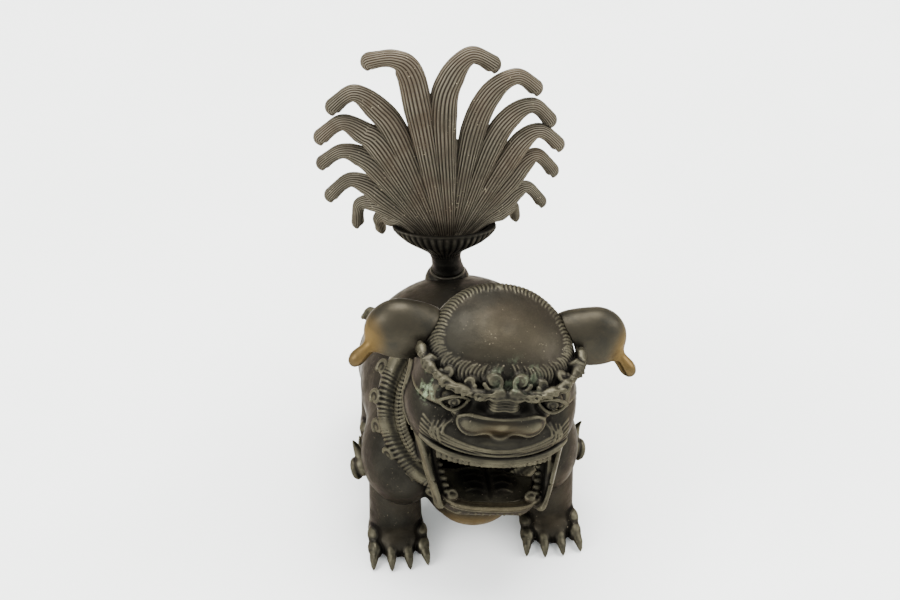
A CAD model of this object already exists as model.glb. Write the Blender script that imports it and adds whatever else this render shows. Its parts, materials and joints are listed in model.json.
"""A cast-bronze guardian lion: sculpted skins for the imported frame, its patina, stage and camera.

Sculpting is done in millimetres in the design frame: x=0 is the body's plane of symmetry, the
tail's axis is at y=51, z=0 is the ground, and the animal faces -y. settle() brings it to metres
in the row's frame. Each sculpted piece is a block of signed distances that is meshed at zero.
"""
import json
import math

import bpy
import numpy as np
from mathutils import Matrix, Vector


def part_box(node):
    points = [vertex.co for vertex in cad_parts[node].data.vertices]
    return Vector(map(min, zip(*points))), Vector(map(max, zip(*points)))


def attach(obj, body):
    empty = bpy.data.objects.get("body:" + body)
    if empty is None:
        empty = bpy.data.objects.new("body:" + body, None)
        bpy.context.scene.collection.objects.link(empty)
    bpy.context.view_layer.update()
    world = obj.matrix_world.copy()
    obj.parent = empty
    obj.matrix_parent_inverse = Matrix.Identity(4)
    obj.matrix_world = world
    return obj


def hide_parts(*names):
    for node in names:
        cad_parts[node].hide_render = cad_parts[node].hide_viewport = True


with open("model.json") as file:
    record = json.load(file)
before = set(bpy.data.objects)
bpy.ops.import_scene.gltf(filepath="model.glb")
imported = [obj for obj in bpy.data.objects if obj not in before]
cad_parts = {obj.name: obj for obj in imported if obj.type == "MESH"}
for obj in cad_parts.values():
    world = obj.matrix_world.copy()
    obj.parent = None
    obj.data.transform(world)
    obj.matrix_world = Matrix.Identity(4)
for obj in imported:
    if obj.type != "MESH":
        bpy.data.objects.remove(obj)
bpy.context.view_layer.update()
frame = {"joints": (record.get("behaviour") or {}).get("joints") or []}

import openvdb
from mathutils import Vector

MM = 0.001
FAR = 6.0                      # distances are held to this many millimetres


def middle(node):
    low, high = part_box(node)
    return (low + high) / 2


TAIL_X = -1.5                   # the tail's stem
TAIL_Y = 51.0
ORIGIN = np.array([
    (middle("front_left_leg").x + middle("front_right_leg").x) / 2,
    middle("tail_socket").y - TAIL_Y * MM,
    0.0])
HINGE = (np.array(frame["joints"][0]["pos_m"]) - ORIGIN) / MM

# The neck's mouth: a round opening that looks forward and up, just under the hinge pin.
NECK_LIFT = math.radians(35.0)
NECK_AXIS = np.array([0.0, -math.cos(NECK_LIFT), math.sin(NECK_LIFT)])
NECK_UP = np.array([0.0, math.sin(NECK_LIFT), math.cos(NECK_LIFT)])
HINGE_OUT = 46.5
NECK = np.array([0.0, HINGE[1], HINGE[2]]) - NECK_UP * HINGE_OUT
NECK_RADIUS = 39.0
NECK_BORE = 35.5

# The head is sculpted upright and then rolled towards the animal's own left.
ROLL = math.radians(9.0)
ROLL_CENTRE = np.array([0.5, 0.0, 70.0])
ROLL_MATRIX = np.array([[math.cos(ROLL), 0, math.sin(ROLL)], [0, 1, 0],
                        [-math.sin(ROLL), 0, math.cos(ROLL)]])


def rolled(points):
    return (np.asarray(points) - ROLL_CENTRE) @ ROLL_MATRIX.T + ROLL_CENTRE


def unrolled(points):
    return (np.asarray(points) - ROLL_CENTRE) @ ROLL_MATRIX + ROLL_CENTRE


# ------------------------------------------------------------------ clay: signed distances

def smooth_min(a, b, blend):
    if blend <= 0:
        return np.minimum(a, b)
    share = np.clip(0.5 + 0.5 * (b - a) / blend, 0, 1)
    return b * (1 - share) + a * share - blend * share * (1 - share)


class Clay:
    """A block of distances on a grid; below zero is metal."""

    def __init__(self, low, high, step):
        self.low = np.array(low, float)
        self.step = step
        self.size = np.ceil((np.array(high, float) - self.low) / step).astype(int) + 1
        self.field = np.full(self.size, FAR, np.float32)

    def window(self, low, high, margin):
        a = np.floor((np.asarray(low) - margin - self.low) / self.step).astype(int)
        b = np.ceil((np.asarray(high) + margin - self.low) / self.step).astype(int) + 1
        a = np.clip(a, 0, self.size)
        b = np.clip(b, 0, self.size)
        if (b <= a).any():
            return None, None
        axes = [self.low[i] + self.step * np.arange(a[i], b[i]) for i in range(3)]
        grid = np.meshgrid(*[axis.astype(np.float32) for axis in axes], indexing="ij", sparse=True)
        return tuple(slice(a[i], b[i]) for i in range(3)), grid

    def add(self, shape, blend=0.0):
        low, high, distance = shape
        part, grid = self.window(low, high, blend + 1.5)
        if part:
            self.field[part] = smooth_min(self.field[part], distance(*grid), blend)

    def carve(self, shape, blend=0.0):
        low, high, distance = shape
        part, grid = self.window(low, high, blend + 1.5)
        if part:
            self.field[part] = -smooth_min(-self.field[part], distance(*grid), blend)

    def keep(self, shape):
        """Removes everything outside the shape."""
        part, grid = self.window(self.low, self.low + self.step * self.size, 0)
        self.field[part] = np.maximum(self.field[part], shape[2](*grid))

    def sample(self, points, field=None):
        """Trilinear distances at points."""
        field = self.field if field is None else field
        place = (np.asarray(points, float) - self.low) / self.step
        place = np.clip(place, 0, self.size - 1.001)
        cell = place.astype(int)
        share = place - cell
        value = 0.0
        for corner in np.ndindex(2, 2, 2):
            weight = np.prod(np.where(corner, share, 1 - share), axis=-1)
            index = cell + corner
            value = value + weight * field[index[..., 0], index[..., 1], index[..., 2]]
        return value

    def normal(self, points, reach=1.0):
        shifts = np.eye(3) * reach
        slope = np.stack([self.sample(points + s) - self.sample(points - s) for s in shifts], -1)
        return slope / (np.linalg.norm(slope, axis=-1, keepdims=True) + 1e-9)

    def snap(self, points, lift=0.0):
        """Moves points to the surface, or to a height above it."""
        points = np.array(points, float)
        for _ in range(8):
            gap = self.sample(points) - lift
            points = points - self.normal(points) * np.clip(gap, -3, 3)[..., None]
        return points

    def blurred(self, reach, field):
        """A field averaged over a cube of the given reach."""
        count = max(1, int(round(reach / self.step)))
        field = np.clip(field, -4, 4)
        for axis in range(3):
            pad = [(0, 0)] * 3
            pad[axis] = (count + 1, count)
            total = np.cumsum(np.pad(field, pad, mode="edge"), axis=axis, dtype=np.float32)
            upper = np.take(total, np.arange(2 * count + 1, total.shape[axis]), axis=axis)
            lower = np.take(total, np.arange(0, total.shape[axis] - 2 * count - 1), axis=axis)
            field = (upper - lower) / (2 * count + 1)
        return field

    def surface(self, solid=None):
        """Points, faces and a ridge value: 1 on proud edges, 0 in grooves, 0.5 on plain skin.

        A thin casting passes its unhollowed field as solid, so the far wall doesn't count.
        """
        solid = self.field if solid is None else solid
        field = self.field.copy()
        for axis in range(3):
            edge = [slice(None)] * 3
            for end in (0, -1):
                edge[axis] = end
                field[tuple(edge)] = np.maximum(field[tuple(edge)], self.step)
        grid = openvdb.FloatGrid(FAR)
        grid.copyFromArray(np.clip(field, -FAR, FAR))
        points, quads = grid.convertToQuads(isovalue=0.0)
        points = self.low + np.asarray(points, float) * self.step
        for _ in range(2):
            gap = np.clip(self.sample(points), -0.4 * self.step, 0.4 * self.step)
            points = points - self.normal(points, self.step) * gap[:, None]
        proud = (self.sample(points, self.blurred(1.0, solid))
                 + self.sample(points, self.blurred(2.4, solid)))
        return points, np.asarray(quads), np.clip(0.5 + proud / 0.9, 0, 1)


# ------------------------------------------------------------------ shapes: (low, high, distance)

def ellipsoid(centre, radii):
    c = np.array(centre, np.float32)
    r = np.array(radii, np.float32)

    def distance(x, y, z):
        p = [(x - c[0]) / r[0], (y - c[1]) / r[1], (z - c[2]) / r[2]]
        near = np.sqrt(p[0] ** 2 + p[1] ** 2 + p[2] ** 2) + 1e-6
        slope = np.sqrt((p[0] / r[0]) ** 2 + (p[1] / r[1]) ** 2 + (p[2] / r[2]) ** 2) + 1e-6
        return near * (near - 1) / slope
    return c - r, c + r, distance


def tube(points, radii):
    """A round tube through the points; radii may change from point to point."""
    p = np.array(points, np.float32)
    r = np.broadcast_to(np.array(radii, np.float32), len(p))

    def distance(x, y, z):
        best = None
        for a, b, ra, rb in zip(p[:-1], p[1:], r[:-1], r[1:]):
            run = b - a
            px, py, pz = x - a[0], y - a[1], z - a[2]
            share = (px * run[0] + py * run[1] + pz * run[2]) / (run @ run + 1e-9)
            share = np.clip(share, 0, 1)
            gap = (px - run[0] * share) ** 2 + (py - run[1] * share) ** 2
            gap = np.sqrt(gap + (pz - run[2] * share) ** 2) - (ra + (rb - ra) * share)
            best = gap if best is None else np.minimum(best, gap)
        return best
    reach = r.max()
    return p.min(0) - reach, p.max(0) + reach, distance


def drum(centre, axis, radius, start, end):
    """A cylinder on an axis, from start to end along it."""
    c = np.array(centre, np.float32)
    a = np.array(axis, np.float32)

    def distance(x, y, z):
        px, py, pz = x - c[0], y - c[1], z - c[2]
        along = px * a[0] + py * a[1] + pz * a[2]
        out = np.sqrt(np.maximum(px ** 2 + py ** 2 + pz ** 2 - along ** 2, 0))
        return np.maximum(out - radius, np.abs(along - (start + end) / 2) - (end - start) / 2)
    reach = math.hypot(radius, max(abs(start), abs(end)))
    return c - reach, c + reach, distance


def block(centre, half, round_by=0.0):
    c = np.array(centre, np.float32)
    h = np.array(half, np.float32)

    def distance(x, y, z):
        q = [np.abs(v - c[i]) - h[i] + round_by for i, v in enumerate((x, y, z))]
        outside = np.sqrt(sum(np.maximum(v, 0) ** 2 for v in q))
        inside = np.minimum(np.maximum(np.maximum(q[0], q[1]), q[2]), 0)
        return outside + inside - round_by
    return c - h, c + h, distance


def slab(point, normal):
    """Everything behind a plane."""
    p = np.array(point, np.float32)
    n = np.array(normal, np.float32)

    def distance(x, y, z):
        return (x - p[0]) * n[0] + (y - p[1]) * n[1] + (z - p[2]) * n[2]
    return p - 500, p + 500, distance


def mirrored(points, side):
    points = np.array(points, float)
    points[..., 0] *= side
    return points


def spline(points, count):
    """A smooth Catmull-Rom line through the points, evenly shared between them."""
    p = np.array(points, float)
    p = np.vstack([2 * p[0] - p[1], p, 2 * p[-1] - p[-2]])
    spots = np.linspace(0, len(p) - 3 - 1e-6, count)
    k = spots.astype(int)
    t = (spots - k)[:, None]
    a, b, c, d = p[k], p[k + 1], p[k + 2], p[k + 3]
    return 0.5 * (2 * b + (c - a) * t + (2 * a - 5 * b + 4 * c - d) * t ** 2
                  + (3 * b - a - 3 * c + d) * t ** 3)


def spiral(centre, across, up, start, end, turns, angle=0.0, steps=22):
    """A flat spiral from radius start to radius end in the plane of two unit vectors."""
    t = np.linspace(0, 1, steps)[:, None]
    turn = angle + turns * 2 * math.pi * t
    radius = start + (end - start) * t
    across, up = np.array(across, float), np.array(up, float)
    return np.array(centre) + radius * (np.cos(turn) * across + np.sin(turn) * up)


def unit(v):
    return np.asarray(v, float) / np.linalg.norm(v)


def ring_faces(rows, around):
    """Quads between neighbouring closed rings of points."""
    near = np.arange(around)
    far = (near + 1) % around
    return np.vstack([np.stack([row * around + near, row * around + far,
                                (row + 1) * around + far, (row + 1) * around + near], 1)
                      for row in range(rows - 1)])


def end_caps(rows, around):
    """Fans that close the first and last ring on two points put after all the rings."""
    near = np.arange(around)
    far = (near + 1) % around
    end = (rows - 1) * around
    first = np.full(around, rows * around)
    return np.vstack([np.stack([far, near, first, first], 1),
                      np.stack([end + near, end + far, first + 1, first + 1], 1)])


# ------------------------------------------------------------------ patina

class Shade:
    """Shorthand for wiring one material."""

    def __init__(self, name):
        self.material = bpy.data.materials.new(name)
        self.material.use_nodes = True
        self.tree = self.material.node_tree
        self.shader = self.tree.nodes["Principled BSDF"]
        self.place = self.tree.nodes.new("ShaderNodeTexCoord").outputs["Object"]

    def join(self, value, socket):
        if isinstance(value, bpy.types.NodeSocket):
            self.tree.links.new(value, socket)
        elif value is not None:
            socket.default_value = value

    def noise(self, scale, detail=4.0, roughness=0.55, warp=0.0, place=None):
        """Noise; the scale is in features per metre."""
        node = self.tree.nodes.new("ShaderNodeTexNoise")
        self.join(place or self.place, node.inputs["Vector"])
        self.join(scale, node.inputs["Scale"])
        self.join(detail, node.inputs["Detail"])
        self.join(roughness, node.inputs["Roughness"])
        self.join(warp, node.inputs["Distortion"])
        return node.outputs["Fac"]

    def cells(self, scale):
        node = self.tree.nodes.new("ShaderNodeTexVoronoi")
        self.join(self.place, node.inputs["Vector"])
        self.join(scale, node.inputs["Scale"])
        return node.outputs["Distance"]

    def value(self, label):
        node = self.tree.nodes.new("ShaderNodeAttribute")
        node.attribute_name = label
        return node.outputs["Fac"]

    def spread(self, value, low, high, to_low=0.0, to_high=1.0):
        """Maps a range of values smoothly onto another."""
        node = self.tree.nodes.new("ShaderNodeMapRange")
        node.interpolation_type = "SMOOTHSTEP"
        for socket, number in zip(node.inputs, (value, low, high, to_low, to_high)):
            self.join(number, socket)
        return node.outputs["Result"]

    def maths(self, kind, a, b):
        node = self.tree.nodes.new("ShaderNodeMath")
        node.operation = kind
        self.join(a, node.inputs[0])
        self.join(b, node.inputs[1])
        return node.outputs[0]

    def mix(self, share, a, b):
        node = self.tree.nodes.new("ShaderNodeMix")
        node.data_type = "RGBA"
        self.join(share, node.inputs["Factor"])
        for socket, colour in ((node.inputs[6], a), (node.inputs[7], b)):
            self.join((*colour, 1.0) if isinstance(colour, tuple) else colour, socket)
        return node.outputs[2]

    def bump(self, height, distance, strength, under=None):
        node = self.tree.nodes.new("ShaderNodeBump")
        self.join(height, node.inputs["Height"])
        self.join(distance, node.inputs["Distance"])
        self.join(strength, node.inputs["Strength"])
        self.join(under, node.inputs["Normal"])
        return node.outputs["Normal"]


def bronze(name, groove, skin, ridge, warm, gold, specks=0.0, green=0.0, rough=(0.36, 0.56)):
    """Old bronze: dark in the grooves, rubbed on the ridges, golden where hands wear it."""
    shade = Shade(name)
    broad = shade.noise(22.0, 3.0)
    cloud = shade.noise(75.0, 5.0, 0.6, 0.6)
    fine = shade.noise(420.0, 4.0, 0.6)
    proud = shade.value("ridge")
    colour = shade.mix(shade.spread(cloud, 0.35, 0.68), skin, tuple(0.62 * c for c in skin))
    colour = shade.mix(shade.maths("MULTIPLY", shade.spread(broad, 0.46, 0.66), 0.75),
                       colour, warm)
    colour = shade.mix(shade.spread(proud, 0.18, 0.5, 1.0, 0.0), colour, groove)
    rubbed = shade.maths("MULTIPLY", shade.spread(proud, 0.65, 1.0),
                         shade.spread(cloud, 0.32, 0.62, 0.3, 0.9))
    colour = shade.mix(rubbed, colour, ridge)
    worn = shade.maths("MULTIPLY", shade.value("wear"), shade.spread(cloud, 0.28, 0.55, 0.55, 1.0))
    colour = shade.mix(worn, colour, gold)
    if specks:
        dots = shade.spread(shade.noise(900.0, 2.0), 0.66, 0.74)
        areas = shade.spread(shade.noise(55.0, 3.0, 0.6), 0.5, 0.64)
        spots = shade.maths("MULTIPLY", shade.maths("MULTIPLY", dots, areas), specks)
        colour = shade.mix(spots, colour, (0.42, 0.36, 0.25))
    if green:
        patch = shade.maths("MULTIPLY", shade.spread(shade.noise(160.0, 5.0, 0.7), 0.5, 0.66),
                            shade.value("green"))
        colour = shade.mix(shade.maths("MULTIPLY", patch, green), colour, (0.17, 0.21, 0.13))
    pits = shade.spread(shade.cells(620.0), 0.0, 0.22)
    gloss = shade.spread(shade.noise(130.0, 4.0), 0.3, 0.7, *rough)
    gloss = shade.maths("ADD", gloss, shade.spread(proud, 0.15, 0.5, 0.2, 0.0))
    shade.join(colour, shade.shader.inputs["Base Color"])
    shade.join(gloss, shade.shader.inputs["Roughness"])
    shade.join(0.78, shade.shader.inputs["Metallic"])
    shade.join((0.5, 0.45, 0.39, 1.0), shade.shader.inputs["Specular Tint"])
    shade.join(0.25, shade.shader.inputs["Specular IOR Level"])
    normal = shade.bump(cloud, 0.0006, 0.35)
    normal = shade.bump(fine, 0.00025, 0.4, normal)
    normal = shade.bump(pits, 0.00012, 0.35, normal)
    shade.join(normal, shade.shader.inputs["Normal"])
    return shade.material


def make_bronzes():
    return {
        "skin": bronze("dark_bronze_patina", (0.0028, 0.0026, 0.0021), (0.0135, 0.0125, 0.0098),
                       (0.062, 0.056, 0.037), (0.0175, 0.0145, 0.0102), (0.1, 0.068, 0.028),
                       specks=0.3, green=0.8),
        "ear": bronze("worn_ear_bronze", (0.0035, 0.0033, 0.0026), (0.0145, 0.0145, 0.0125),
                      (0.03, 0.026, 0.018), (0.019, 0.0165, 0.0115), (0.098, 0.062, 0.021),
                      rough=(0.34, 0.5)),
        "tail": bronze("tail_bronze_patina", (0.009, 0.0076, 0.0056), (0.044, 0.038, 0.0275),
                       (0.13, 0.115, 0.085), (0.058, 0.041, 0.028), (0.13, 0.095, 0.05),
                       specks=1.0, rough=(0.42, 0.6)),
        "stem": bronze("sooty_stem_bronze", (0.002, 0.0018, 0.0015), (0.008, 0.0074, 0.006),
                       (0.04, 0.036, 0.027), (0.011, 0.009, 0.0065), (0.06, 0.045, 0.022)),
        "pin": bronze("pin_brass", (0.02, 0.015, 0.008), (0.12, 0.085, 0.04),
                      (0.2, 0.15, 0.08), (0.09, 0.06, 0.03), (0.2, 0.13, 0.06)),
    }


# ------------------------------------------------------------------ meshes

def settle(points):
    """Design millimetres to metres in the row's frame."""
    return np.asarray(points) * MM + ORIGIN


def new_mesh(name, points, faces, ridge, wear):
    """A smooth-shaded object with the two values that its patina follows."""
    mesh = bpy.data.meshes.new(name)
    mesh.vertices.add(len(points))
    mesh.vertices.foreach_set("co", settle(points).astype(np.float32).ravel())
    sides = faces.shape[1]
    mesh.loops.add(faces.size)
    mesh.loops.foreach_set("vertex_index", faces.astype(np.int32).ravel())
    mesh.polygons.add(len(faces))
    mesh.polygons.foreach_set("loop_start", np.arange(0, faces.size, sides, dtype=np.int32))
    mesh.update(calc_edges=True)
    mesh.validate()
    mesh.polygons.foreach_set("use_smooth", np.ones(len(mesh.polygons), bool))
    piece = bpy.data.objects.new(name, mesh)
    bpy.context.scene.collection.objects.link(piece)
    paint(piece, "ridge", ridge)
    paint(piece, "wear", wear)
    return piece


def paint(piece, label, values):
    """Stores one more value on the points for the patina."""
    layer = piece.data.attributes.new(label, "FLOAT", "POINT")
    layer.data.foreach_set("value", np.asarray(values, np.float32))


def finish_piece(piece, body, slot, material, *nodes):
    piece.data.materials.append(material)
    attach(piece, body)
    if nodes:
        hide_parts(*nodes)
    return piece


def soft_spot(points, centre, radii):
    """A value that fades from 1 at a centre to 0 at the edge of an ellipsoid."""
    gap = np.linalg.norm((points - np.array(centre)) / np.array(radii), axis=1)
    share = np.clip(1.25 - gap, 0, 1)
    return share * share * (3 - 2 * share)


# ------------------------------------------------------------------ body

BREAST = ((0, -41, 41), (27, 32, 26))
BODY_WALL = 3.0
BODY_FORMS = [                               # centre, radii, blend
    ((0, 4, 63), (54, 66, 44), 0),
    ((37, -34, 51), (20.5, 27, 28), 7), ((-37, -34, 51), (20.5, 27, 28), 7),
    ((31, 36, 53), (22, 27, 30), 8), ((-31, 36, 53), (22, 27, 30), 8),
    (*BREAST, 4),
    ((0, 28, 73), (46, 38, 33), 8),
]


def body_clay(step):
    """The body's outer skin as one filled form."""
    clay = Clay((-62, -78, 10), (62, 74, 128), step)
    for centre, radii, blend in BODY_FORMS:
        clay.add(ellipsoid(centre, radii), blend)
    clay.add(drum(NECK, NECK_AXIS, NECK_RADIUS, -44, 1), 5)
    return clay


def breast_fold(clay, drop, depth):
    """A shallow crease that runs round under the throat."""
    angle = np.radians(np.linspace(200, 340, 15))
    points = np.stack([21 * np.cos(angle), -58 + 0 * angle, 45 - drop + 12 * np.sin(angle)], 1)
    clay.carve(tube(clay.snap(points), depth), 1.2)


def build_body(skin):
    clay = body_clay(1.0)
    for drop in (6, 10, 14):
        breast_fold(clay, drop, 0.7)
    solid = clay.field.copy()
    clay.field = np.maximum(clay.field, -(clay.field + BODY_WALL))
    clay.carve(drum(NECK, NECK_AXIS, NECK_BORE, -14, 14))
    clay.keep(slab(NECK - NECK_AXIS * 0.3, NECK_AXIS))
    clay.carve(drum((TAIL_X, TAIL_Y, 88), (0, 0, 1), 10, 0, 30))
    clay.carve(drum((0, 8, 10), (0, 0, 1), 20, 0, 25))
    points, faces, ridge = clay.surface(solid)
    wear = soft_spot(points, (0, -66, 26), (25, 16, 14))
    piece = new_mesh("lion_body", points, faces, ridge, wear)
    return finish_piece(piece, "body", "dark_bronze", skin, "body_shell")


# ------------------------------------------------------------------ legs


def toe(clay, offset):
    """One toe with its knuckle and a hooked claw."""
    y = -17.5 + 0.11 * offset ** 2 / 8.3
    splay = offset * 0.12
    clay.add(ellipsoid((offset, y, 5.2), (4.0, 6.5, 4.9)), 1.0)
    clay.add(ellipsoid((offset * 0.97, y + 6.5, 9.0), (4.0, 5.5, 4.6)), 1.4)
    clay.add(tube([(offset + splay * 0.6, y - 4.5, 5.4), (offset + splay, y - 8, 4.6),
                   (offset + splay * 1.3, y - 10.6, 2.4), (offset + splay * 1.4, y - 11.4, 0.7)],
                  [2.7, 2.2, 1.3, 0.5]), 0.5)


def leg_clay():
    """A paw and shank about the leg's own axis, claws to -y."""
    clay = Clay((-19, -34, -1), (19, 18, 44), 0.55)
    clay.add(tube([(0, 0, 4), (0, 0, 46)], [14.2, 13.4]))
    clay.add(ellipsoid((0, -5, 5.5), (15, 16.5, 10)), 3)
    clay.add(ellipsoid((0, 8, 4.5), (10, 9, 6)), 3)
    for index in range(4):
        toe(clay, (index - 1.5) * 8.3)
    clay.keep(slab((0, 0, 0), (0, 0, -1)))
    return clay


def build_legs(skin):
    points, faces, ridge = leg_clay().surface()
    places = {"front_left_leg": (41, -42), "front_right_leg": (-41, -42),
              "rear_left_leg": (38, 40), "rear_right_leg": (-38, 40)}
    for node, (x, y) in places.items():
        moved = points + np.array([x, y, 0])
        wear = 0.05 * soft_spot(moved, (x, y - 14, 12), (12, 12, 7))
        piece = new_mesh("lion_" + node, moved, faces, ridge, wear)
        finish_piece(piece, "body", "dark_bronze", skin, node)


# ------------------------------------------------------------------ flame tufts

def flame(root, bend, tip, thick):
    """One licking point of a tuft."""
    return tube(spline([root, bend, tip], 9), np.linspace(thick, 0.5, 9))


def build_tuft(side, part, centre, scale, skin, skin_form):
    """A curl lying against the skin with flames above and below it."""
    centre = np.array(centre, float)
    out = skin_form.normal(centre, 2.0)
    foot = skin_form.snap(centre)
    up = unit(np.array([0, 0, 1]) - out * out[2])
    back = np.cross(up, out) * side
    clay = Clay(foot - 18 * scale - 4, foot + 18 * scale + 4, 0.5)

    def at(along, height, lift):
        return foot + (back * along + up * height) * scale + out * lift
    clay.add(ellipsoid(at(0, 0, 1.8), np.full(3, 5.4 * scale)))
    clay.add(tube(spiral(at(-0.5, 0, 4.2 * scale + 1), back, up, 0.6, 5.0 * scale, 1.6, 1.2),
                  np.linspace(1.0, 1.6, 22) * scale), 0.5)
    if scale > 1:
        clay.add(flame(at(0, 3, 1.5), at(3, 9, 2.2), at(0.5, 15, 0.8), 3.0), 0.8)
        clay.add(flame(at(2, 2, 1.5), at(7, 5, 2.0), at(8.5, 10, 0.6), 2.6), 0.8)
        clay.add(flame(at(0, -3, 1.5), at(4, -9, 2.0), at(2.5, -15, 0.8), 3.0), 0.8)
        clay.add(flame(at(3, -1, 1.5), at(8, -4, 1.8), at(9.5, -9, 0.6), 2.4), 0.8)
        clay.add(flame(at(3, 0, 1.5), at(8, 1, 1.8), at(12, 3, 0.6), 2.4), 0.8)
    points, faces, ridge = clay.surface()
    name = ("left" if side > 0 else "right") + "_" + part + "_tuft"
    piece = new_mesh("lion_" + name, points, faces, ridge, 0 * ridge)
    finish_piece(piece, "body", "dark_bronze", skin, name)


def build_tufts(skin, skin_form):
    for side in (1, -1):
        build_tuft(side, "elbow", (side * 56, -27, 38), 1.15, skin, skin_form)
        build_tuft(side, "hock", (side * 45, 51, 77), 0.8, skin, skin_form)


# ------------------------------------------------------------------ mane

def round_neck(angle, radius, back):
    """A point beside the neck: angle from the top, radius out, distance behind the mouth."""
    angle = np.asarray(angle, float)[..., None]
    radius = np.asarray(radius, float)[..., None]
    return (NECK + radius * (np.sin(angle) * np.array([1.0, 0, 0]) + np.cos(angle) * NECK_UP)
            - np.asarray(back, float)[..., None] * NECK_AXIS)


MANE_CURLS = 8                  # curls down each side of the band
MANE_START = math.radians(36)   # no curls stand at the nape, where the hinge is
MANE_STRANDS = 150


def nape():
    """The wedge in front of the band at the top, which the open head needs."""
    def distance(x, y, z):
        along = (y - NECK[1]) * NECK_AXIS[1] + (z - NECK[2]) * NECK_AXIS[2]
        height = (y - NECK[1]) * NECK_UP[1] + (z - NECK[2]) * NECK_UP[2]
        return np.maximum(-3.6 - along, 39.0 - height) + 0 * x
    return np.full(3, -500.0), np.full(3, 500.0), distance


def build_mane(skin):
    """A rolled band of combed strands with a row of curls along its outer edge."""
    clay = Clay((-60, -84, 30), (60, 8, 132), 0.6)
    circle = np.linspace(0, 2 * math.pi, 61)
    clay.add(tube(round_neck(circle, 42.5, 6.5 + 0 * circle), 5.8))
    clay.add(tube(round_neck(circle, 43.0, 13.0 + 0 * circle), 4.6), 3)
    base = Clay(clay.low, clay.low + clay.step * (clay.size - 1), clay.step)
    base.field = clay.field.copy()
    for angle in np.linspace(0.05, 2 * math.pi - 0.05, MANE_STRANDS):
        wave = 0.05 * math.sin(9 * angle)
        turn = angle + wave + np.array([0.0, 0.03, 0.045, 0.03, -0.01, -0.05])
        points = round_neck(turn, np.array([39.5, 43.0, 47.5, 49.0, 48.0, 47.5]),
                            np.array([0.6, 0.2, 2.4, 7.0, 12.0, 17.0]))
        points = base.snap(spline(points, 12), 0.1)
        clay.add(tube(points, np.linspace(0.6, 0.85, 12)), 0.15)
    for side in (1, -1):
        for index in range(MANE_CURLS):
            angle = MANE_START + (math.pi - MANE_START) * (index + 0.5) / MANE_CURLS
            mirror = np.array([side, 1, 1])
            across = (np.array([math.cos(angle), 0, 0]) - math.sin(angle) * NECK_UP) * mirror
            out = (np.array([math.sin(angle), 0, 0]) + math.cos(angle) * NECK_UP) * mirror
            facing = unit(out + 0.6 * NECK_AXIS)
            centre = round_neck(angle, 45.0, 9.5 + 1.5 * (index % 2)) * mirror
            clay.add(ellipsoid(centre + facing * 2.0, (4.6, 4.6, 4.6)), 1.5)
            line = spiral(centre + facing * 5.4, across, np.cross(facing, across), 0.4, 4.3, 1.7,
                          0.8)
            clay.add(tube(line, np.linspace(0.8, 1.3, 22)), 0.3)
    clay.carve(drum(NECK, NECK_AXIS, NECK_RADIUS + 0.2, -40, 2))
    clay.keep(slab(NECK - NECK_AXIS * 0.6, NECK_AXIS))
    clay.carve(nape())
    points, faces, ridge = clay.surface()
    piece = new_mesh("lion_mane", points, faces, ridge, 0 * ridge)
    finish_piece(piece, "body", "dark_bronze", skin, "mane_collar")


# ------------------------------------------------------------------ head, sculpted upright

SKULL_FORMS = [                             # centre, radii, blend
    ((0, -52, 128), (40, 31, 32), 6),
    ((0, -62, 112), (42, 25, 24), 8),
    ((0, -75, 107), (37, 19, 13.5), 4),
    ((30, -62, 108), (13, 20, 20), 4), ((-30, -62, 108), (13, 20, 20), 4),
]
HEAD_WALL = 3.8
CROWN = np.array([0.0, -59.0, 157.5])          # the forehead's middle
CROWN_UP = np.array([0.0, -0.38, 0.925])       # the way the forehead faces
FRINGE = [(0, -84, 146), (8, -85, 145.5), (16, -84.5, 145.5), (25, -81.5, 146.5),
          (33, -76, 147.5), (37, -68, 149), (35.5, -59, 152), (31, -50, 156), (23.5, -42, 160.5),
          (13, -36.5, 164), (0, -34.5, 165.5)]
LIP_Z = 97.0
JAW_DRIFT = 5.0                                # the jaw hangs this far to the lion's left
JAW_TOP = 65.0


def lip_y(x):
    """How far forward the muzzle's lip stands at a place across it."""
    return -75 - 19 * np.sqrt(np.clip(1 - (np.asarray(x, float) / 37.5) ** 2, 0.02, 1))


def forehead():
    """A broad, gently domed slope from the crown down to the brow."""
    centre = CROWN - CROWN_UP * 78.0

    def distance(x, y, z):
        half = 40.5 - 9.0 * np.clip((y + 72) / 40, 0, 1)
        plan = (np.abs(x / half) ** 2.5 + np.abs((y + 58.5) / 28.5) ** 2.5) ** 0.4
        sides = (plan - 1) * 30
        cap = np.sqrt(x ** 2 + (y - centre[1]) ** 2 + (z - centre[2]) ** 2) - 78.0
        under = 124 - z
        return -smooth_min(-np.maximum(sides, under), -cap, 9.0)
    return np.array([-41, -88, 124.0]), np.array([41, -29, 168.0]), distance


def hung(points):
    """Upright head points to the design frame: the jaw drifts sideways, then the head rolls."""
    points = np.array(points, float)
    drop = np.clip((113 - points[:, 2]) / 44, 0, 1)
    points[:, 0] += JAW_DRIFT * drop ** 1.3
    return rolled(points)


def unhung(points):
    """The reverse of hung()."""
    points = unrolled(points)
    drop = np.clip((113 - points[:, 2]) / 44, 0, 1)
    points[:, 0] -= JAW_DRIFT * drop ** 1.3
    return points


def ruff(clay):
    """The combed edge down each cheek that closes the head onto the neck's mouth."""
    for side in (1, -1):
        arc = np.radians(np.linspace(48, 128, 31))
        clay.add(tube(unhung(mirrored(round_neck(arc, 36.6, -3.4 + 0 * arc), side)), 3.6), 2.5)
        for angle in np.radians(np.linspace(50, 127, 27)):
            comb = round_neck(angle + np.array([0, 0.02, 0.02, 0]),
                              np.array([35.5, 38.5, 40.0, 39.6]),
                              np.array([-7.6, -6.6, -3.8, -0.6]))
            clay.add(tube(spline(unhung(mirrored(comb, side)), 8), 0.75), 0.2)


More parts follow.
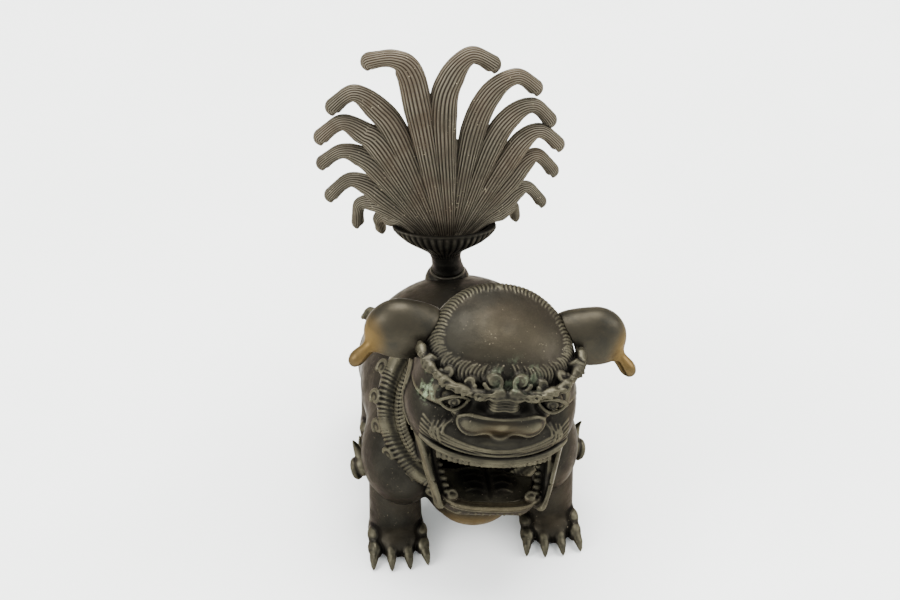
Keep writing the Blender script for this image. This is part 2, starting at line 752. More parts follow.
def seam_plane():
    """The plane of the neck's mouth, in the head's upright coordinates."""
    return unrolled(NECK), NECK_AXIS @ ROLL_MATRIX


def line(clay, points, radius, count=14, lift=0.0, blend=0.6, taper=0.35):
    """A raised line laid on the surface, thinning to both ends."""
    run = clay.snap(spline(points, count), lift)
    share = np.sin(np.linspace(0.08, 0.92, count) * math.pi) ** 0.6
    clay.add(tube(run, radius * (taper + (1 - taper) * share)), blend)


def fringe_strands(clay, base):
    """Short bowed strands set like a comb's teeth across the brow line, all round the crown."""
    right = spline(FRINGE, 200)
    loop = np.vstack([right, mirrored(right, -1)[::-1]])
    run = np.concatenate([[0], np.cumsum(np.linalg.norm(np.diff(loop, axis=0), axis=1))])
    count = int(run[-1] / 2.2)
    for index in range(count):
        at = run[-1] * (index + 0.5) / count
        centre = np.array([np.interp(at, run, loop[:, i]) for i in range(3)])
        ahead = np.array([np.interp(at + 0.5, run, loop[:, i]) for i in range(3)]) - centre
        centre = base.snap(centre[None])[0]
        out = base.normal(centre[None], 1.5)[0]
        along = unit(ahead)
        across = unit(np.cross(out, along))
        front = np.clip((-centre[1] - 60) / 22, 0, 1)
        half = 4.6 + 0.9 * front + 0.5 * math.sin(index * 2.3)
        side = 1 if centre[0] > 0 else -1
        bow = (1.6 + 1.3 * front) * (1 if index < count / 2 else -1)
        share = np.linspace(-1, 1, 9)[:, None]
        points = centre + across * half * share + along * bow * (1 - share ** 2)
        points = points + along * side * 0.6 * share
        points = base.snap(points, -0.05)
        clay.add(tube(points, 0.3 + 0.5 * np.cos(share[:, 0] * 1.35)), 0.1)


def brow_curls(clay, side):
    """Spirals at the brow's middle and on its folds."""
    for x, z, size, hand in ((6.6, 142.0, 5.0, 1), (17.0, 139.0, 3.0, -1), (27.5, 140.0, 3.4, 1),
                             (36.5, 142.0, 3.6, -1)):
        at = clay.snap(np.array([[side * x, -84 + 0.011 * x * x, z]]), 0.2)[0]
        out = clay.normal(at[None], 2.5)[0]
        across = unit(np.cross([0, 0, 1], out)) * side * hand
        up = unit(np.cross(out, np.cross([0, 0, 1], out)))
        clay.add(ellipsoid(at - out * size * 0.3, (size, size * 0.8, size)), 1.5)
        clay.add(tube(spiral(at + out * size * 0.35, across, up, 0.4, size, 1.6, 2.2),
                      np.linspace(0.7, 1.15, 22)), 0.4)


def brow(clay, side):
    """The heavy fold over one eye, broken up into lumps and licking hairs."""
    fold = mirrored([(3, -87.5, 138.5), (12, -87.5, 137), (22, -85.5, 138), (31, -80, 139.5),
                     (38.5, -70, 142), (40.5, -60, 144)], side)
    run = spline(fold, 20)
    lumps = 2.3 + 0.7 * np.sin(np.arange(20) * 1.9) + 0.3 * np.sin(np.arange(20) * 4.3)
    clay.add(tube(run, lumps), 1.6)
    for index in range(17):
        start = run[min(index + 1, 19)]
        reach = 0.8 + 0.25 * math.sin(2.7 * index)
        way = np.array([side * (1.0 + 0.5 * math.sin(index)), -0.4, 0.0])
        for lift in (-2.4, 0.2, 2.6):
            wave = math.sin(index * 1.7 + lift)
            hair = start + [0, -2.5, lift]
            line(clay, [hair, hair + way * 2 + [0, 0, 1.6 * wave],
                        hair + way * 4.2 * reach + [0, 0, -1.0 * wave]], 0.75, 8, 0.0, 0.3)


def eye(clay, side):
    centre = np.array([side * 24.5, -82.5, 130.0])
    clay.carve(ellipsoid(centre + [0, -4.5, 0.5], (9, 6, 5.0)), 2.5)
    ball = Clay(centre - 14, centre + 14, 0.6)
    ball.add(ellipsoid(centre + [0, 1.2, 0], (5.6, 5.0, 4.6)))
    clay.add(ellipsoid(centre + [0, 1.2, 0], (5.6, 5.0, 4.6)), 0.4)
    around = np.linspace(0, 2 * math.pi, 25)
    ring = np.stack([2.4 * np.cos(around), 0 * around - 3, 2.2 * np.sin(around) - 0.2], 1)
    clay.add(tube(ball.snap(centre + ring, 0.1), 0.5), 0.25)
    clay.add(ellipsoid(ball.snap(centre[None] + [0, -3, -0.2], 0.1)[0], (0.9, 0.8, 0.9)), 0.3)
    share = np.linspace(-1, 1, 15)
    for height, thick in ((4.6, 0.95), (-4.2, 0.8)):
        lid = np.stack([7.4 * share * side, 2.6 * share ** 2 - 4.4,
                        height * (1 - share ** 2) - 0.6 * share], 1)
        clay.add(tube(centre + lid, thick), 0.7)
    for index in range(3):
        fold = np.stack([(9.0 + index) * share * side, 3.2 * share ** 2 - 3,
                         -(6.2 + 1.8 * index) * (1 - share ** 2) - 0.5 * share], 1)
        line(clay, centre + fold, 0.5, 16, 0.0, 0.7)
    for index in range(3):
        x = 32.0 + 2.0 * index
        line(clay, mirrored([(x, -78, 133), (x + 1.0, -78, 129), (x - 0.4, -78, 125)], side),
             0.55, 10)


def nose(clay):
    """A broad flat nose with round lobes, a fine rim and a ridged bridge."""
    clay.add(ellipsoid((0, -85, 120), (15, 8.5, 6.5)), 3)
    for side in (1, -1):
        clay.add(ellipsoid((side * 13.5, -85.5, 120), (8.6, 8.4, 6.6)), 5)
        clay.carve(ellipsoid((side * 12.5, -97, 113.2), (5.0, 3.4, 2.4)), 1.5)
        clay.carve(ellipsoid((side * 10, -88, 130), (5.5, 3.0, 2.2)), 2.5)
    clay.carve(ellipsoid((0, -95, 126), (9, 4, 2.2)), 3)
    rim = [(0, -92, 123.4), (7, -92, 123.8), (13, -92, 125.6), (18.5, -90, 124.5),
           (22, -88, 120), (20.5, -91, 114), (14.5, -93, 112.4), (8.5, -94, 114.2),
           (0, -94, 111.6)]
    rim = np.vstack([rim, mirrored(rim, -1)[::-1][1:]])
    run = clay.snap(spline(rim + [0, 0, 1.5], 90), 0.1)
    clay.add(tube(run, 0.55), 1.2)
    clay.add(block((0, -83, 131.5), (7.5, 6.5, 6.5), 3), 3)
    for index in range(5):
        z = 128.5 + 1.8 * index
        half = 7.5 + 0.5 * index
        line(clay, [(-half, -85, z + 1.2), (-half / 2, -89, z - 0.2), (0, -91, z + 0.5),
                    (half / 2, -89, z - 0.2), (half, -85, z + 1.2)], 0.6, 22)


def muzzle_lines(clay):
    """Wrinkles that follow the lip across the muzzle and curl up into the cheeks."""
    for index in range(5):
        drop = 1.9 * index
        z = LIP_Z + 2.2 + drop
        rise = 5.5 + 0.8 * index
        run = []
        for x in np.linspace(-37, 37, 17):
            lift = rise * (abs(x) / 37) ** 3 - 0.8 * math.cos(x / 6.5) * (index > 1)
            run.append((x, float(lip_y(x)) - 1, z + lift))
        line(clay, run, 0.6 if index else 0.95, 60, 0.0, 0.8, 0.2)
    for side in (1, -1):
        for index in range(4):
            x = 25.5 + 2.6 * index
            line(clay, mirrored([(x, -86, 118 - 0.6 * index), (x + 1.8, -86, 112 - index),
                                 (x - 0.6, -86, 106 - 0.4 * index)], side), 0.55, 16, 0.0, 0.9)


STRAP = [(42.0, -50, 127), (42.5, -57, 116), (40, -66, 103), (36.5, -73, 92),
         (33, -79, 80), (29.5, -85, 69), (26.5, -89, 61)]


def strap(clay, side, low, high):
    """The raised band from the temple down past the mouth's corner to the jaw."""
    for index in range(4):
        shift = np.array([0.9 - 0.8 * index, 2.7 - 1.8 * index, -0.3 * index])
        points = spline(np.array(STRAP, float) + shift, 48)
        points = points[(points[:, 2] > low) & (points[:, 2] < high)]
        points = mirrored(points, side)
        on_face = points[:, 2] > 98
        points[on_face] = clay.snap(points[on_face], 0.1)
        clay.add(tube(points, 1.05), 0.8)


def teeth(clay, z, y_of, half, count, size):
    for x in np.linspace(-half, half, count):
        clay.add(block((x, y_of(x), z), size, 0.55), 0.15)


def head_clay():
    clay = Clay((-50, -98, 60), (50, -14, 173), 0.6)
    clay.add(forehead())
    for centre, radii, blend in SKULL_FORMS:
        clay.add(ellipsoid(centre, radii), blend)
    clay.carve(ellipsoid((0, -102, 134.0), (60, 13.5, 5.0)), 4)
    return clay


def build_head(skin):
    clay = head_clay()
    outer = head_clay()
    clay.field = np.maximum(clay.field, -(clay.field + HEAD_WALL))
    clay.carve(block((0, -84, 83), (31.5, 22, LIP_Z - 83), 1.0), 0.5)
    clay.carve(block((0, -60, 60), (60, 60, 10)))
    for side in (1, -1):
        clay.add(ellipsoid((side * 33.5, -62, 87), (3.8, 14, 17)), 2)
        brow(clay, side)
    nose(clay)
    for side in (1, -1):
        eye(clay, side)
        strap(clay, side, JAW_TOP + 9, 200)
    muzzle_lines(clay)
    lip = [(x, float(lip_y(x)) + 1.2, LIP_Z + 0.8 + 3.5 * (abs(x) / 36) ** 3)
           for x in np.linspace(-36, 36, 21)]
    clay.add(tube(spline(lip, 60), 1.9), 1.2)
    teeth(clay, 94.5, lambda x: float(lip_y(x)) + 4.2, 28, 22, (1.3, 1.6, 3.2))
    clay.carve(block((0, -60, 60), (60, 60, JAW_TOP - 59.5)))
    fringe_strands(clay, outer)
    ruff(clay)
    for side in (1, -1):
        brow_curls(clay, side)
    point, normal = seam_plane()
    clay.keep(slab(point, -normal))
    points, faces, ridge = clay.surface()
    wear = 0.16 * soft_spot(points, (0, -94, 118), (17, 8, 6))
    wear += 0.05 * soft_spot(points, (2, -62, 158), (24, 24, 12))
    piece = new_mesh("lion_head", hung(points), faces, ridge, np.clip(wear, 0, 1))
    green = soft_spot(points, (-37, -76, 127), (11, 12, 10))
    paint(piece, "green", np.clip(green + 0.35 * soft_spot(points, (6, -86, 146), (16, 14, 8)),
                                  0, 1))
    finish_piece(piece, "head", "dark_bronze", skin, "head_shell", "upper_jaw", "left_jowl",
                 "right_jowl")


# ------------------------------------------------------------------ lower jaw and tongue

def tray(half, front, low, high, spread=0.0, power=3.2):
    """A U-shaped block with a blunt front; spread widens it towards the top."""
    middle_y = front + 31

    def distance(x, y, z):
        scale = half * (1 + spread * ((z - high) / (high - low)))
        ahead = np.maximum(middle_y - y, 0) / 31 * half
        out = (np.abs(x) ** power + ahead ** power) ** (1 / power) - scale
        return np.maximum(out, np.abs(z - (low + high) / 2) - (high - low) / 2)
    return (np.array([-half, front, low], np.float32) - 1,
            np.array([half, -20, high], np.float32) + 1, distance)


def build_jaw(skin):
    clay = Clay((-40, -98, 48), (40, -30, 102), 0.55)
    clay.add(tray(30, -92.5, 55, JAW_TOP, 0.1))
    clay.carve(tray(25.5, -88, JAW_TOP - 3.2, JAW_TOP + 9, 0.0), 0.8)
    clay.keep(slab((0, -92.5, JAW_TOP - 4.5), (0, -0.75, -0.66)))
    for side in (1, -1):
        edge = [(27.5, -86, 64), (30, -79, 69), (32.5, -71, 78), (33.5, -64, 92)]
        clay.add(tube(spline(mirrored(edge, side), 16), np.linspace(2.0, 3.2, 16)), 1.5)
        inner = [(23.5, -83, 64.5), (26.5, -76, 69), (29, -68, 76), (30, -61, 87)]
        clay.add(tube(spline(mirrored(inner, side), 16), np.linspace(2.6, 3.6, 16)), 1.5)
        for index in range(7):
            at = np.array([side * (23.0 + 0.8 * index), -83.5 + 3.0 * index, 66.5 + 1.9 * index])
            clay.add(ellipsoid(at, (2.3, 1.6, 1.9)), 0.5)
        at = np.array([side * 20.5, -85.0, 66.6])
        clay.add(ellipsoid(at - [0, 0, 1.5], (3.4, 3.0, 2.2)), 0.8)
        clay.add(tube(spiral(at, (side, 0, 0.2), (0, 0.8, 0.6), 0.4, 2.6, 1.5),
                      np.linspace(0.55, 0.8, 22)), 0.3)
        strap(clay, side, 62.5, JAW_TOP + 10)
        clay.add(ellipsoid((side * 26, -86, 62), (3.0, 4.0, 3.0)), 2)
    for index in range(3):
        run = []
        for x in np.linspace(-27, 27, 15):
            ahead = 31 * (1 - (abs(x) / 30.2) ** 3.2) ** (1 / 3.2)
            run.append((x, -61.5 - ahead, JAW_TOP - 0.4 - 1.9 * index))
        line(clay, run, 0.9 if index == 0 else 0.7, 44, 0.0, 0.4, 0.3)
    for index in range(9):
        x = -16 + 4 * index
        line(clay, [(x * 0.9, -88, 59), (x, -84, 57), (x * 1.05 + 1, -80, 55)], 0.7, 8)
    point, normal = seam_plane()
    clay.keep(slab(point + normal * 0.3, -normal))
    points, faces, ridge = clay.surface()
    wear = 0.2 * soft_spot(points, (0, -90, JAW_TOP), (26, 6, 4))
    piece = new_mesh("lion_lower_jaw", hung(points), faces, ridge, wear)
    finish_piece(piece, "head", "dark_bronze", skin, "lower_jaw")


def build_tongue(skin):
    top = JAW_TOP - 1.6
    clay = Clay((-28, -92, top - 5), (28, -36, top + 5), 0.6)
    clay.add(tray(24.8, -87.2, top - 2.0, top))
    clay.add(ellipsoid((0, -68, top - 0.4), (15, 16, 2.2)), 1.5)
    clay.carve(tube([(0, -84, top + 1.6), (0, -70, top + 2.2), (0, -50, top + 1.8)], 1.1), 1.2)
    for side in (1, -1):
        for index in range(6):
            y = -80 + 5 * index
            line(clay, mirrored([(2.5, y, top + 1), (7, y + 1.8, top + 1), (12, y + 1, top)],
                                side), 0.45, 8, 0.0, 0.8)
    point, normal = seam_plane()
    clay.keep(slab(point + normal * 0.3, -normal))
    points, faces, ridge = clay.surface()
    piece = new_mesh("lion_tongue", hung(points), faces, ridge * 0.8 + 0.12, 0 * ridge)
    finish_piece(piece, "head", "dark_bronze", skin, "tongue")


# ------------------------------------------------------------------ ears

EAR_MIDDLE = (49.5, -47.0, 141.0)


def build_ears(skin):
    """Drooping leaves, hollow below, each with a thick lower edge and a curled lobe."""
    skull = head_clay()
    for side in (1, -1):
        name = ("left" if side > 0 else "right") + "_ear"
        low = np.array([min(side * 26, side * 80), -70, 104])
        high = np.array([max(side * 26, side * 80), -24, 168])
        clay = Clay(low, high, 0.5)
        x, y, z = EAR_MIDDLE
        clay.add(ellipsoid((side * x, y, z), (17.0, 12.0, 18.0)))
        clay.add(ellipsoid((side * 37, y, 145), (12, 10, 10.5)), 6)
        clay.field = np.maximum(clay.field, -(clay.field + 1.9))
        cut = unit(np.array([side * 0.1, 0.0, -1.0]))
        clay.keep(slab((side * x, y, 133.0), cut))
        clay.keep(outside_of(skull, 0.3))
        rim = []
        for angle in np.linspace(-2.2, 2.2, 25):
            across = 14.8 * math.cos(angle)
            rim.append((side * (x + across), y + 9.8 * math.sin(angle), 133.0 + 0.1 * across))
        clay.add(tube(np.array(rim), 1.2), 0.8)
        lobe = mirrored([(60.5, -51, 137.5), (64.0, -52.5, 133.5), (67.5, -54, 130.0),
                         (69.8, -55, 127.5)], side)
        clay.add(tube(spline(lobe, 10), [3.4, 3.4, 3.4, 3.5, 3.6, 3.8, 4.0, 4.1, 4.0, 3.5]), 2.5)
        groove = mirrored([(62.5, -55.5, 132), (65.5, -57, 128), (68, -58.5, 124)], side)
        clay.carve(tube(spline(groove, 8), 1.3), 1.2)
        points, faces, ridge = clay.surface()
        wear = soft_spot(points, (side * 69, -56, 139), (12, 18, 15))
        piece = new_mesh("lion_" + name, rolled(points), faces, ridge, wear)
        finish_piece(piece, "head", "worn_bronze", skin, name)


def outside_of(clay, gap):
    """The space outside another form, as a shape."""
    def distance(x, y, z):
        spots = np.stack(np.broadcast_arrays(x, y, z), -1)
        inside = np.all((spots > clay.low) & (spots < clay.low + clay.step * (clay.size - 1)), -1)
        return np.where(inside, gap - clay.sample(spots), -FAR)
    return None, None, distance


# ------------------------------------------------------------------ tail

CUP_RIM = 134.0
CUP_SHIFT = 1.5                 # the plume's middle, beside the stem's
CUP_TILT = 0.075                # the cup and fan sit a little askew on the stem
STRAND_RIDGES = 22
FAN_ROWS = 48
FAN_COLUMNS = 32                # columns of points between two locks
FAN_RIDGES = 4
# Each lock of the plume: its size, then where it leaves the fan, bends, crests and ends its
# hook, across and up.
LOCKS = {
    "right_7": (0.66, (-31.2, 138.2), (-34.8, 138.5), (-37.5, 134.7), (-36.3, 126.5)),
    "right_6": (0.74, (-34.0, 145.6), (-41.0, 147.3), (-47.3, 144.8), (-48.5, 132.0)),
    "right_5": (0.84, (-36.5, 154.2), (-43.8, 159.7), (-52.5, 161.3), (-61.5, 151.4)),
    "right_4": (0.84, (-37.1, 170.6), (-47.0, 179.1), (-56.1, 180.6), (-65.0, 173.0)),
    "right_3": (0.92, (-35.7, 184.5), (-45.2, 193.8), (-55.0, 198.7), (-65.2, 189.6)),
    "right_2": (0.96, (-27.3, 191.6), (-37.8, 208.3), (-48.4, 215.9), (-58.2, 207.4)),
    "right_1": (1.0, (-16.0, 208.5), (-20.6, 230.0), (-28.0, 235.6), (-39.0, 233.6)),
    "left_1": (1.0, (-3.2, 202.9), (1.8, 224.2), (11.7, 234.4), (22.6, 227.2)),
    "left_2": (0.92, (12.7, 190.3), (22.6, 212.1), (35.4, 219.2), (45.4, 210.5)),
    "left_3": (0.88, (22.6, 181.5), (33.6, 197.3), (44.7, 200.7), (53.6, 190.0)),
    "left_4": (0.86, (29.0, 167.0), (39.6, 181.5), (48.9, 184.5), (58.4, 174.0)),
    "left_5": (0.8, (32.1, 156.2), (40.9, 166.9), (47.9, 168.7), (56.2, 157.0)),
    "left_6": (0.7, (30.4, 143.0), (37.0, 147.6), (43.2, 147.9), (50.7, 136.5)),
    "left_7": (0.62, (27.7, 135.9), (32.0, 136.6), (35.7, 135.8), (37.0, 127.5)),
}


def sweep(path, half_width, half_depth, facing, ridges, depth, around=132):
    """A capped tube with lengthwise ridges: points, faces and ridge values."""
    ahead = np.gradient(path, axis=0)
    ahead /= np.linalg.norm(ahead, axis=1, keepdims=True)
    across = np.cross(ahead, facing)
    across /= np.linalg.norm(across, axis=1, keepdims=True)
    out = np.cross(across, ahead)
    turn = np.linspace(0, 2 * math.pi, around, endpoint=False)
    crest = np.abs(np.cos(turn * ridges / 2)) ** 0.8
    swell = 1 + np.outer(depth, crest - 0.6)
    wide = half_width[:, None] * np.cos(turn) * swell
    deep = half_depth[:, None] * np.sin(turn) * swell
    points = path[:, None] + wide[..., None] * across[:, None] + deep[..., None] * out[:, None]
    rows = len(path)
    points = np.vstack([points.reshape(-1, 3), path[0], path[-1]])
    faces = np.vstack([ring_faces(rows, around), end_caps(rows, around)])
    return points, faces, np.append(np.tile(crest, rows), [0.5, 0.5])


def lock(root, spots, rng):
    """One lock, from inside the cup to its rounded, hooked tip."""
    size, leave, bend, crest, tip = spots
    side = 1 if tip[0] > crest[0] else -1
    start = np.array([TAIL_X - CUP_SHIFT + 0.6 * root, CUP_RIM - 7.5])
    rim = np.array([TAIL_X - CUP_SHIFT + root * 1.12, CUP_RIM + 2.0 - CUP_TILT * root])
    hook = np.array(tip) + np.array([-side * 1.4, -2.6])
    line_xz = spline([start, rim, leave, bend, crest, tip, hook], 110)
    share = np.linspace(0, 1, 110)
    lean = np.minimum(15.5 * share, 13.3) + rng.uniform(-0.5, 0.5)
    path = np.stack([line_xz[:, 0], TAIL_Y + lean, line_xz[:, 1]], 1)
    width = np.interp(share, [0, 0.17, 0.33, 0.5, 0.62, 0.75, 0.88, 0.94, 0.975, 0.99, 1],
                      [2.4, 4.4, 7.4, 6.8, 5.0, 4.2, 4.8, 4.7, 3.7, 2.3, 0.15])
    thick = np.interp(share, [0, 0.17, 0.33, 0.5, 0.62, 0.75, 0.88, 0.94, 0.975, 0.99, 1],
                      [3.5, 5.6, 5.2, 4.6, 4.4, 4.0, 4.5, 4.4, 3.4, 2.2, 0.15])
    return path, width * size, thick * size


def fan(locks):
    """The web of fine strands that joins the locks up to where they part."""
    steps = np.linspace(0, 1, FAN_ROWS)
    parts = []
    for (a, wide_a, _), (b, wide_b, _) in zip(locks[:-1], locks[1:]):
        gap = np.linalg.norm(a - b, axis=1) - (wide_a + wide_b)
        apart = np.nonzero((gap > -1.5) & (np.linspace(0, 1, len(a)) > 0.3))[0]
        parts.append(apart[0] / (len(a) - 1) if len(apart) else 0.45)
    count = (len(locks) - 1) * FAN_COLUMNS
    spots = np.arange(count + 1) / FAN_COLUMNS
    reach = np.interp(spots, np.arange(len(parts)) + 0.5, parts)
    front, back, crests = [], [], []
    for spot, top in zip(spots, reach):
        pair = min(int(spot), len(locks) - 2)
        share = spot - pair
        at = steps * top * (len(locks[0][0]) - 1)
        rows = np.arange(len(locks[0][0]))
        middle_line, half = 0, 0
        for part, (path, _, thick) in ((1 - share, locks[pair]), (share, locks[pair + 1])):
            middle_line = middle_line + part * np.stack(
                [np.interp(at, rows, path[:, i]) for i in range(3)], 1)
            half = half + part * np.interp(at, rows, thick)
        crest = abs(math.cos(math.pi * spot * FAN_RIDGES)) ** 0.8
        half = half * 0.86 * np.interp(steps, [0, 0.8, 1], [1, 0.9, 0.05])
        half = half + 0.8 * (crest - 0.6) * np.interp(steps, [0, 0.9, 1], [1, 1, 0])
        front.append(middle_line - np.stack([0 * half, half, 0 * half], 1))
        back.append(middle_line + np.stack([0 * half, half, 0 * half], 1))
        crests.append(np.full(FAN_ROWS, crest))
    loop = np.concatenate([np.array(front), np.array(back)[::-1]]).transpose(1, 0, 2)
    rows, around = loop.shape[:2]
    column = np.arange(count)
    opposite = around - 1 - column
    top = (rows - 1) * around
    faces = [ring_faces(rows, around),
             np.stack([column + 1, column, opposite, opposite - 1], 1),
             np.stack([top + column, top + column + 1, top + opposite - 1, top + opposite], 1)]
    ridge = np.concatenate([np.array(crests), np.array(crests)[::-1]]).T.ravel()
    return loop.reshape(-1, 3), np.vstack(faces), ridge


def build_plume(skin):
    rng = np.random.default_rng(11)
    roots = np.concatenate([-np.linspace(21, 2, 7), np.linspace(2, 21, 7)])
    locks = [lock(root, spots, rng) for root, spots in zip(roots, LOCKS.values())]
    points, faces, ridge = [list(part) for part in zip(fan(locks))]
    start = len(points[0])
    for path, width, thick in locks:
        depth = np.interp(np.linspace(0, 1, len(path)), [0, 0.1, 0.9, 1], [0.04, 0.08, 0.08, 0.02])
        p, f, r = sweep(path, width, thick, np.array([0, 1.0, 0]), STRAND_RIDGES, depth)
        points.append(p)
        faces.append(f + start)
        ridge.append(r)
        start += len(p)
    ridge = np.concatenate(ridge)
    piece = new_mesh("lion_tail_plume", np.vstack(points), np.vstack(faces), ridge, 0 * ridge)
    finish_piece(piece, "tail", "tail_bronze", skin, "tail_plume")


def build_socket(skin):
    """The collar on the rump that the tail's peg drops into, flared into the back."""
    clay = Clay((TAIL_X - 16, TAIL_Y - 16, 84), (TAIL_X + 16, TAIL_Y + 16, 108), 0.5)
    clay.add(drum((TAIL_X, TAIL_Y, 80), (0, 0, 1), 8.8, 4, 24.6))
    clay.add(drum((TAIL_X, TAIL_Y, 80), (0, 0, 1), 9.3, 22.6, 24.4), 0.8)
    for angle in np.linspace(0, 2 * math.pi, 24, endpoint=False):
        foot = np.array([TAIL_X + 9.0 * math.cos(angle), TAIL_Y + 9.0 * math.sin(angle), 96])
        clay.add(ellipsoid(foot, (3.0, 3.0, 5.5)), 2.5)
    clay.carve(drum((TAIL_X, TAIL_Y, 80), (0, 0, 1), 5.2, 0, 30))
    points, faces, ridge = clay.surface()
    piece = new_mesh("lion_tail_socket", points, faces, ridge, 0 * ridge)
    finish_piece(piece, "body", "dark_bronze", skin, "tail_socket")


def build_cup(skin):
    """A fluted goblet on a round stem, with the peg below."""
    heights = [(89.5, 4.2), (90.5, 5.0), (104.8, 5.0), (105.1, 8.3), (106.0, 8.7), (107.2, 8.4),
               (108.0, 8.2), (113.0, 8.0), (117.0, 8.8), (120.5, 11.8), (124.0, 17.0),
               (127.5, 22.5), (130.8, 26.0), (133.0, 27.6), (134.4, 28.0), (135.2, 27.0),
               (135.0, 24.0)]
    z, reach = np.array(heights).T
    run = np.linspace(0, len(z) - 1, 150)
    z = np.interp(run, np.arange(len(z)), z)
    reach = np.interp(run, np.arange(len(reach)), reach)
    flat = np.interp(z, [112, 120, 134], [1.0, 0.72, 0.425])
    turn = np.linspace(0, 2 * math.pi, 528, endpoint=False)
    flute = np.abs(np.cos(turn * 22))
    cut = np.interp(z, [114, 121, 133, 134.5], [0.0, 0.02, 0.03, 0.01])
    swell = 1 + np.outer(cut, flute - 0.6)
    x = reach[:, None] * np.cos(turn) * swell
    height = z[:, None] - CUP_TILT * x * np.clip((z - 114) / 16, 0, 1)[:, None]
    x = x + TAIL_X - 1.6 * np.clip((z - 106) / 14, 0, 1)[:, None]
    y = TAIL_Y + (reach * flat)[:, None] * np.sin(turn) * swell
    points = np.stack([x, y, height], -1).reshape(-1, 3)
    rows, around = x.shape
    faces = np.vstack([ring_faces(rows, around), end_caps(rows, around)])
    points = np.vstack([points, [TAIL_X, TAIL_Y, z[0]], [TAIL_X - 1.6, TAIL_Y, z[-1] - 3]])
    level = np.interp(z, [114, 120, 133, 134.4, 135], [0.0, 1.0, 1.0, 0.0, 0.0])
    ridge = 0.5 + np.outer(level, flute - 0.5)
    ridge += np.interp(z, [133.5, 134.6, 135.2], [0, 0.4, 0])[:, None]
    ridge = np.append(np.clip(ridge.ravel(), 0, 1), [0.5, 0.5])
    piece = new_mesh("lion_tail_cup", points, faces, ridge, 0 * ridge)
    finish_piece(piece, "tail", "dark_bronze", skin, "tail_cup")


# ------------------------------------------------------------------ stage, light and camera

VIEW_AZIMUTH = math.radians(-7.0)
VIEW_ELEVATION = math.radians(40.0)
VIEW_DISTANCE = 1.06
VIEW_RISE = 0.0263               # the aim is this far up and left of the body's middle
VIEW_LEFT = 0.0063


def paper():
    """A pale backdrop sheet with a faint mottle and a few creases."""
    shade = Shade("backdrop_paper")
    tint = shade.spread(shade.noise(5.0, 3.0), 0.3, 0.7)
    colour = shade.mix(tint, (0.86, 0.87, 0.84), (0.9, 0.905, 0.885))
    shade.join(colour, shade.shader.inputs["Base Color"])
    shade.join(shade.spread(shade.noise(60.0, 4.0), 0.3, 0.7, 0.8, 0.95),
               shade.shader.inputs["Roughness"])
    shade.join(shade.bump(shade.noise(9.0, 5.0, 0.6), 0.004, 0.25), shade.shader.inputs["Normal"])
    return shade.material


def build_floor():
    """A floor that sweeps up behind the lion."""
    run = [(-3.0, 0.0), (1.4, 0.0)]
    for angle in np.radians(np.linspace(6, 90, 15)):
        run.append((1.4 + 0.8 * math.sin(angle), 0.8 - 0.8 * math.cos(angle)))
    run.append((2.2, 3.0))
    points = [(x, y, z) for y, z in run for x in (-4.0, 4.0)]
    faces = [(2 * i, 2 * i + 1, 2 * i + 3, 2 * i + 2) for i in range(len(run) - 1)]
    mesh = bpy.data.meshes.new("backdrop")
    mesh.from_pydata(points, [], faces)
    mesh.polygons.foreach_set("use_smooth", np.ones(len(faces), bool))
    mesh.materials.append(paper())
    floor = bpy.data.objects.new("backdrop", mesh)
    bpy.context.scene.collection.objects.link(floor)


def soft_light(name, at, aim, width, height, watts, tint=(1.0, 1.0, 1.0)):
    lamp = bpy.data.lights.new(name, "AREA")
    lamp.shape = "RECTANGLE"
    lamp.size = width
    lamp.size_y = height
    lamp.energy = watts
    lamp.color = tint
    holder = bpy.data.objects.new(name, lamp)
    holder.location = at
    holder.rotation_euler = (Vector(aim) - Vector(at)).to_track_quat("-Z", "Y").to_euler()
    bpy.context.scene.collection.objects.link(holder)


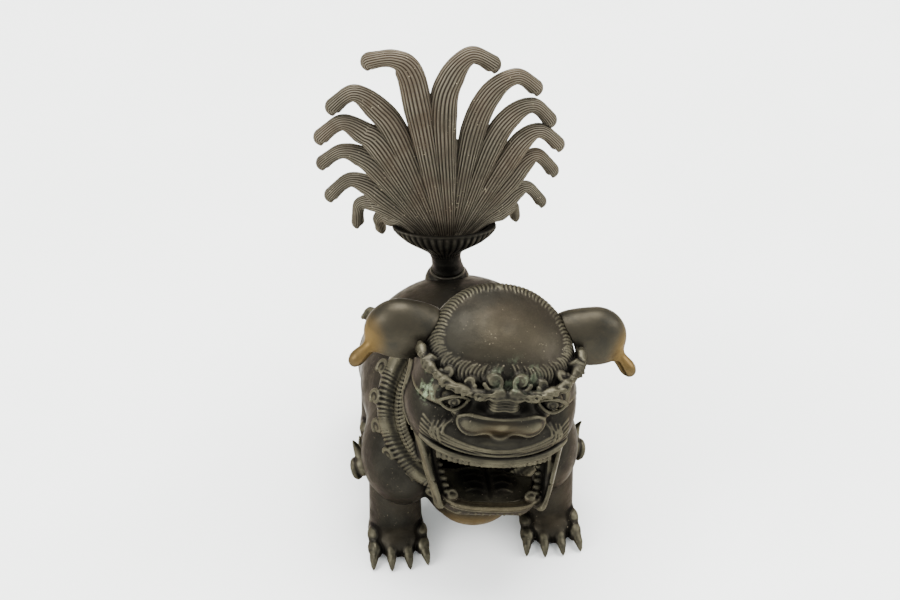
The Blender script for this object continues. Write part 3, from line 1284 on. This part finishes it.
def build_lights():
    soft_light("overhead_softbox", (0.1, 0.35, 1.7), (0, 0.02, 0.1), 1.5, 1.1, 78)
    soft_light("left_softbox", (-1.3, -0.5, 0.9), (0, 0, 0.1), 0.9, 0.9, 30)
    soft_light("right_softbox", (1.3, -0.2, 0.8), (0, 0, 0.1), 0.8, 0.9, 20)
    world = bpy.data.worlds.new("studio")
    world.use_nodes = True
    sky = world.node_tree.nodes["Background"]
    sky.inputs["Color"].default_value = (0.95, 0.98, 1.0, 1.0)
    sky.inputs["Strength"].default_value = 2.05
    bpy.context.scene.world = world


def build_camera():
    back = Vector((math.sin(VIEW_AZIMUTH) * math.cos(VIEW_ELEVATION),
                   -math.cos(VIEW_AZIMUTH) * math.cos(VIEW_ELEVATION),
                   math.sin(VIEW_ELEVATION)))
    facing = (-back).to_track_quat("-Z", "Y")
    right = facing @ Vector((1, 0, 0))
    up = facing @ Vector((0, 1, 0))
    aim = Vector(settle((0, 0, 90))) + up * VIEW_RISE - right * VIEW_LEFT
    data = bpy.data.cameras.new("photographer")
    data.lens = 80.0
    data.sensor_width = 36.0
    data.clip_start = 0.05
    data.clip_end = 20.0
    camera = bpy.data.objects.new("photographer", data)
    camera.rotation_mode = "QUATERNION"
    camera.rotation_quaternion = facing
    camera.location = aim + back * VIEW_DISTANCE
    bpy.context.scene.collection.objects.link(camera)
    bpy.context.scene.camera = camera


# ------------------------------------------------------------------ main

def dress_frame(bronzes):
    """Gives the carried-over castings and pins their patina."""
    wanted = {"body_hinge_knuckles": "skin", "head_hinge_knuckle": "skin",
              "neck_flange": "skin", "core_hole_cover": "ear", "hinge_pin": "pin",
              "leg_cross_pins": "pin", "ear_rivets": "pin"}
    for node, key in wanted.items():
        mesh = bpy.data.objects[node].data
        mesh.materials.clear()
        mesh.materials.append(bronzes[key])


bronzes = make_bronzes()
skin_form = body_clay(1.5)
build_body(bronzes["skin"])
build_legs(bronzes["skin"])
build_tufts(bronzes["skin"], skin_form)
build_mane(bronzes["skin"])
build_head(bronzes["skin"])
build_jaw(bronzes["skin"])
build_tongue(bronzes["skin"])
build_ears(bronzes["ear"])
build_socket(bronzes["stem"])
build_cup(bronzes["stem"])
build_plume(bronzes["tail"])
dress_frame(bronzes)
build_floor()
build_lights()
build_camera()
